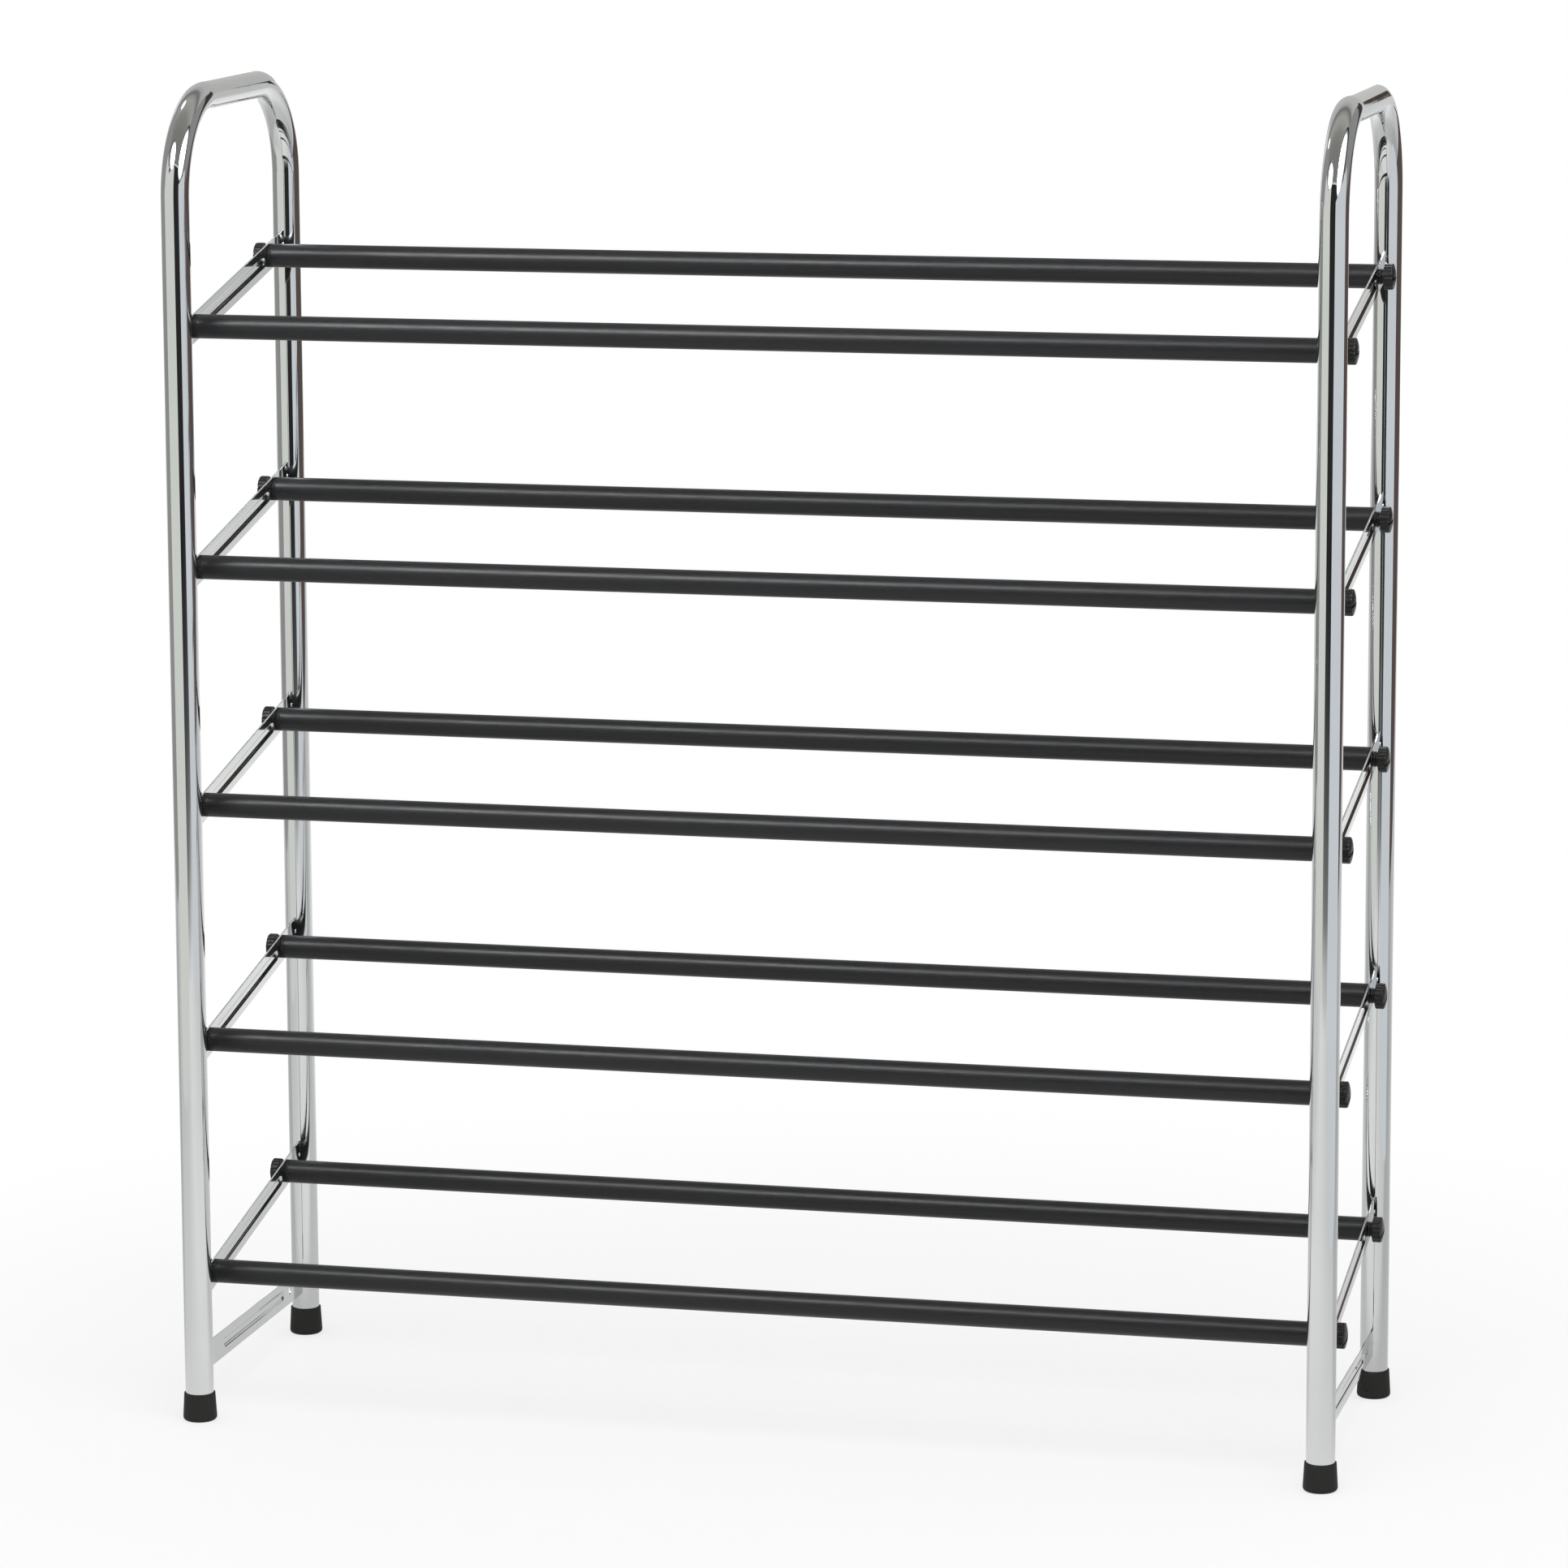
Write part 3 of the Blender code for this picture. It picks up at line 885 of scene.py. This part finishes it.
# Lights seen in the gloss: centre, half width and half height
LEFT_SOFTBOX = (Vector((-0.95, -1.85, 2.42)), 0.94, 0.76)
RIGHT_SOFTBOX = (Vector((1.17, -0.80, 1.85)), 1.20, 0.76)
SMALL_LAMP = (Vector((-0.75, 0.20, 1.72)), 0.11, 0.11)
DISC_SIDES = 64
EVEN_SHARE = 0.45  # share of a softbox's radius that is evenly bright
RIM_FALL = 3.0  # power of the fall from there to the rim
MAP_RADIUS = 0.5  # of a disc that fills its map
MAP_MIDDLE = (MAP_RADIUS, MAP_RADIUS, 0.0)

# Ceiling: lowest and highest corner of the plan
CEILING_HEIGHT = 2.95
CEILING = ((-3.6, -3.3), (2.2, 4.8))


def greys(*stops):
    """The stops of a fade without colour."""
    return tuple((at, (share, share, share)) for at, share in stops)


# Brightness along an axis: place and share of the whole
WALL_FADE = ((0.90, (0.38, 0.29, 0.27)), (1.10, (1.0, 1.0, 1.0)))
BACK_FADE = greys((-0.70, 1.0), (-0.20, 0.76), (0.23, 0.55), (0.60, 0.46), (1.00, 0.44))
CEILING_FADE = (
    (-3.3, (0.46, 0.46, 0.44)),
    (-0.9, (0.47, 0.47, 0.44)),
    (-0.1, (0.56, 0.56, 0.52)),
    (0.3, (0.74, 0.74, 0.69)),
    (0.74, (0.82, 0.81, 0.77)),
    (1.1, (0.66, 0.64, 0.60)),
    (1.38, (0.44, 0.40, 0.38)),
    (1.62, (0.44, 0.41, 0.39)),
    (1.95, (0.82, 0.82, 0.82)),
    (2.8, (1.0, 1.0, 1.0)),
)
# Painted light and shade of the floor as reflections show it: dark far in front, full near
# the rack, and a painted shade from the rack's middle to about a metre behind it
FLOOR_PAINTED_SHADE = greys(
    (-4.2, 0.03),
    (-3.2, 0.06),
    (-2.5, 0.13),
    (-2.0, 0.27),
    (-1.5, 1.0),
    (-0.12, 1.0),
    (0.04, 0.72),
    (0.5, 0.75),
    (1.2, 1.0),
)
# Painted light of the floor in reflections, across the rack: brightest near the middle
FLOOR_PAINTED_LIGHT = greys(
    (-1.4, 0.85), (-0.7, 0.94), (-0.2, 1.14), (0.3, 1.10), (0.8, 0.97), (1.3, 0.82)
)

FLOOR_HALF = 7.0
FLOOR_COLOUR = (0.96, 0.96, 0.96, 1.0)
SHADOW_REACH = (0.35, 1.0)  # from the rack's middle to where its shadow starts to fade, and ends
SHADOW_SHARE = 0.30
KEY_PLACE = Vector((0.4, -1.0, 2.6))
KEY_SIZE = 1.6
WHITE = (1.0, 1.0, 1.0, 1.0)


def fade(tree, axis, stops):
    """A colour that follows one axis through its stops."""
    place = add(tree, "ShaderNodeTexCoord").outputs["Object"]
    parts = add(tree, "ShaderNodeSeparateXYZ", {"Vector": place})
    first, last = stops[0][0], stops[-1][0]
    share = add(
        tree,
        "ShaderNodeMapRange",
        {"Value": parts.outputs[axis], "From Min": first, "From Max": last},
    )
    ramp = add(tree, "ShaderNodeValToRGB", {"Fac": share.outputs["Result"]})
    elements = ramp.color_ramp.elements
    while len(elements) < len(stops):
        elements.new(1.0)
    for element, (at, shade) in zip(elements, stops):
        element.position = (at - first) / (last - first)
        element.color = (*shade, 1.0)
    return ramp.outputs["Color"]


def glow(name, strength=1.0, tint=(1.0, 1.0, 1.0)):
    """A surface that only shines."""
    material, tree, shader = new_material(name)
    lamp = add(tree, "ShaderNodeEmission", {"Color": (*tint, 1.0), "Strength": strength})
    tree.links.new(lamp.outputs["Emission"], tree.nodes["Material Output"].inputs["Surface"])
    tree.nodes.remove(shader)
    return material


def faded_glow(name, strength, axis, stops):
    """A surface that only shines, and fades along an axis."""
    material = glow(name, strength)
    tree = material.node_tree
    tree.links.new(fade(tree, axis, stops), tree.nodes["Emission"].inputs["Color"])
    return material


def soft_glow(name, strength, tint):
    """A round light that fades from its middle to its rim, on a map that it fills."""
    material = glow(name, strength, tint)
    tree = material.node_tree
    place = add(tree, "ShaderNodeTexCoord").outputs["UV"]
    away = add(tree, "ShaderNodeVectorMath", {0: place, 1: MAP_MIDDLE}, operation="DISTANCE")
    share = add(
        tree,
        "ShaderNodeMapRange",
        {
            "Value": away.outputs["Value"],
            "From Min": MAP_RADIUS * EVEN_SHARE,
            "From Max": MAP_RADIUS,
            "To Min": 1.0,
            "To Max": 0.0,
        },
    ).outputs["Result"]
    power = add(tree, "ShaderNodeMath", {0: share, 1: RIM_FALL}, operation="POWER")
    shine = add(tree, "ShaderNodeMath", {0: power.outputs[0], 1: strength}, operation="MULTIPLY")
    tree.links.new(shine.outputs[0], tree.nodes["Emission"].inputs["Strength"])
    return material


def staged(name, bm, material):
    """Put a flat shape on the stage."""
    mesh = to_mesh(bm, name)
    mesh.materials.append(material)
    item = bpy.data.objects.new(name, mesh)
    bpy.context.scene.collection.objects.link(item)
    return item


def reflected_only(item):
    """Let a board show in polished metal and gloss, and nowhere else."""
    item.visible_camera = False
    item.visible_diffuse = False
    item.visible_transmission = False
    item.visible_volume_scatter = False
    item.visible_shadow = False


def board(name, corners, material):
    """A flat board between four corners."""
    bm = bmesh.new()
    bm.faces.new([bm.verts.new(corner) for corner in corners])
    return staged(name, bm, material)


def standing(name, ends, material, bottom=0.0):
    """A board that stands on the floor, or hangs above it."""
    (x0, y0, top0), (x1, y1, top1) = ends
    corners = ((x0, y0, bottom), (x1, y1, bottom), (x1, y1, top1), (x0, y0, top0))
    reflected_only(board(name, corners, material))


def lying(name, plan, height, material):
    """A level board."""
    (x0, y0), (x1, y1) = plan
    corners = ((x0, y0, height), (x1, y0, height), (x1, y1, height), (x0, y1, height))
    return board(name, corners, material)


def round_light(name, light, aim, material):
    """An oval light that faces a point."""
    centre, half_width, half_height = light
    facing = (aim - centre).to_track_quat("Z", "Y").to_matrix().to_4x4()
    size = Matrix.Diagonal((half_width, half_height, 1.0, 1.0))
    bm = bmesh.new()
    bm.loops.layers.uv.new("rim")
    bmesh.ops.create_circle(
        bm,
        cap_ends=True,
        segments=DISC_SIDES,
        radius=1.0,
        matrix=Matrix.Translation(centre) @ facing @ size,
        calc_uvs=True,
    )
    reflected_only(staged(name, bm, material))


def seen_directly(tree, path):
    """One where a surface is seen by the camera, in a reflection or through glass."""
    either = add(
        tree,
        "ShaderNodeMath",
        {0: path["Is Camera Ray"], 1: path["Is Glossy Ray"]},
        operation="MAXIMUM",
    )
    seen = add(
        tree,
        "ShaderNodeMath",
        {0: either.outputs[0], 1: path["Is Transmission Ray"]},
        operation="MAXIMUM",
    )
    return seen.outputs[0]


def choose(tree, share, first, second):
    """One shader where the share is nothing, another where it is one."""
    both = add(tree, "ShaderNodeMixShader", {0: share})
    tree.links.new(first.outputs[0], both.inputs[1])
    tree.links.new(second.outputs[0], both.inputs[2])
    return both


def studio_floor():
    """A pale floor that keeps the rack's shadow close by and is white further away."""
    material, tree, shader = new_material("studio_floor")
    tree.nodes.remove(shader)
    path = add(tree, "ShaderNodeLightPath").outputs
    matt = add(tree, "ShaderNodeBsdfDiffuse", {"Color": FLOOR_COLOUR})
    place = add(tree, "ShaderNodeTexCoord").outputs["Object"]
    distance = add(tree, "ShaderNodeVectorMath", {0: place}, operation="LENGTH")
    shadow = add(
        tree,
        "ShaderNodeMapRange",
        {
            "Value": distance.outputs["Value"],
            "From Min": SHADOW_REACH[0],
            "From Max": SHADOW_REACH[1],
            "To Min": SHADOW_SHARE,
            "To Max": 0.0,
        },
        interpolation_type="SMOOTHSTEP",
    )
    white = add(tree, "ShaderNodeEmission", {"Color": WHITE, "Strength": 1.0})
    # Reflections see a painted floor: its light and shade come from these fades, not from the lamps
    painted_floor_light = add(
        tree,
        "ShaderNodeEmission",
        {"Color": fade(tree, "Y", FLOOR_PAINTED_SHADE), "Strength": fade(tree, "X", FLOOR_PAINTED_LIGHT)},
    )
    looked_at = choose(tree, shadow.outputs["Result"], white, matt)
    shown = choose(tree, path["Is Camera Ray"], painted_floor_light, looked_at)
    surface = choose(tree, seen_directly(tree, path), matt, shown)
    tree.links.new(surface.outputs[0], tree.nodes["Material Output"].inputs["Surface"])
    return material


def studio_world(ambient):
    """White to the eye and in reflections, and an even light on everything else."""
    world = bpy.data.worlds.new("studio")
    world.use_nodes = True
    tree = world.node_tree
    tree.nodes.clear()
    seen = seen_directly(tree, add(tree, "ShaderNodeLightPath").outputs)
    light = add(tree, "ShaderNodeBackground", {"Color": WHITE, "Strength": ambient})
    white = add(tree, "ShaderNodeBackground", {"Color": WHITE, "Strength": 1.0})
    both = choose(tree, seen, light, white)
    output = add(tree, "ShaderNodeOutputWorld")
    tree.links.new(both.outputs[0], output.inputs["Surface"])
    bpy.context.scene.world = world


def key_lamp(power):
    """A large soft lamp over the front of the rack, aimed at its middle."""
    data = bpy.data.lights.new("key_lamp", "AREA")
    data.energy = power
    data.size = KEY_SIZE
    lamp = bpy.data.objects.new("key_lamp", data)
    middle = (CAD_BOX[0] + CAD_BOX[1]) / 2
    lamp.location = KEY_PLACE
    lamp.rotation_euler = (middle - KEY_PLACE).to_track_quat("-Z", "Y").to_euler()
    lamp.visible_glossy = False
    bpy.context.scene.collection.objects.link(lamp)


def studio_camera():
    """The camera of the picture."""
    data = bpy.data.cameras.new("studio_camera")
    data.sensor_width = SENSOR_WIDTH
    data.lens = CAMERA_LENS
    camera = bpy.data.objects.new("studio_camera", data)
    turn = Matrix.Rotation(CAMERA_YAW, 4, "Z")
    turn @= Matrix.Rotation(QUARTER_TURN - CAMERA_PITCH, 4, "X")
    turn @= Matrix.Rotation(CAMERA_ROLL, 4, "Z")
    camera.matrix_world = Matrix.Translation(CAMERA_PLACE) @ turn
    bpy.context.scene.collection.objects.link(camera)
    bpy.context.scene.camera = camera


class RackStudio(bpy.types.Operator):
    """Set up the floor, the cards and lights around the rack, and the camera"""

    bl_idname = "rack.studio"
    bl_label = "Studio"

    def execute(self, context):
        levels = context.scene.rack_studio
        corner = (FLOOR_HALF, FLOOR_HALF)
        lying("floor", ((-FLOOR_HALF, -FLOOR_HALF), corner), 0.0, studio_floor())

        tint = levels.wall_tint
        standing("left_card", LEFT_CARD, glow("left_card", tint=levels.left_card))
        standing("right_card", RIGHT_CARD, glow("right_card", tint=levels.right_card))
        standing("left_wall", LEFT_WALL, glow("left_wall", levels.left_wall, tint))
        brown_foot = faded_glow("right_wall", levels.right_wall, "Z", WALL_FADE)
        standing("right_wall", RIGHT_WALL, brown_foot)
        lit = faded_glow("back_wall", levels.back_wall, "X", BACK_FADE)
        standing("back_wall", BACK_WALL, lit)
        dim = glow("upper_wall", levels.ceiling, tint)
        standing("upper_wall", UPPER_WALL, dim, BACK_WALL[0][2])
        standing("front_wall", FRONT_WALL, glow("front_wall", levels.front_wall, tint))
        dark = glow("screen", tint=levels.screen)
        standing("corner_screen", CORNER_SCREEN, dark)
        standing("side_screen", SIDE_SCREEN, dark)
        standing("high_screen", HIGH_SCREEN, dark, HIGH_SCREEN_FOOT)
        above = faded_glow("ceiling", levels.ceiling, "Y", CEILING_FADE)
        reflected_only(lying("ceiling", CEILING, CEILING_HEIGHT, above))

        middle = Vector((0.0, 0.0, FRAME_HIGH.z))
        softbox = soft_glow("softbox", levels.softbox, levels.softbox_tint)
        round_light("left_softbox", LEFT_SOFTBOX, middle, softbox)
        level_aim = Vector((0.0, RIGHT_SOFTBOX[0].y, RIGHT_SOFTBOX[0].z))
        round_light("right_softbox", RIGHT_SOFTBOX, level_aim, softbox)
        round_light("small_lamp", SMALL_LAMP, middle, glow("small_lamp", levels.small_lamp, tint))

        studio_world(levels.ambient)
        key_lamp(levels.key_power)
        studio_camera()
        context.scene.view_settings.view_transform = "Standard"
        return {"FINISHED"}


class RackPanel(bpy.types.Panel):
    """The rack's pieces in the order they are made"""

    bl_idname = "VIEW3D_PT_rack"
    bl_label = "Shoe rack"
    bl_space_type = "VIEW_3D"
    bl_region_type = "UI"
    bl_category = "Shoe Rack"

    def draw(self, context):
        for operator in OPERATORS:
            self.layout.operator(operator.bl_idname)
        for name in SETTINGS:
            group = getattr(context.scene, name)
            for key in group.bl_rna.properties.keys():
                if key not in ("rna_type", "name"):
                    self.layout.prop(group, key)


OPERATORS = (RackTubes, RackStrips, RackRods, RackBushes, RackScrews, RackCaps, RackStudio)
SETTINGS = {
    "rack_frame": FrameSizes,
    "rack_rods": RodSizes,
    "rack_screws": ScrewSizes,
    "rack_caps": CapSizes,
    "rack_finishes": FinishColours,
    "rack_studio": StudioLevels,
}


def register():
    """Add the settings, operators and panel to Blender."""
    for kind in (*SETTINGS.values(), *OPERATORS, RackPanel):
        bpy.utils.register_class(kind)
    for name, kind in SETTINGS.items():
        setattr(bpy.types.Scene, name, PointerProperty(type=kind))


def unregister():
    """Take them out again."""
    for name in SETTINGS:
        delattr(bpy.types.Scene, name)
    for kind in reversed((*SETTINGS.values(), *OPERATORS, RackPanel)):
        bpy.utils.unregister_class(kind)


def main():
    """Make every piece and the studio."""
    register()
    bpy.ops.rack.tubes()
    bpy.ops.rack.strips()
    bpy.ops.rack.rods()
    bpy.ops.rack.bushes()
    bpy.ops.rack.screws()
    bpy.ops.rack.caps()
    bpy.ops.rack.studio()


if __name__ == "__main__":
    main()
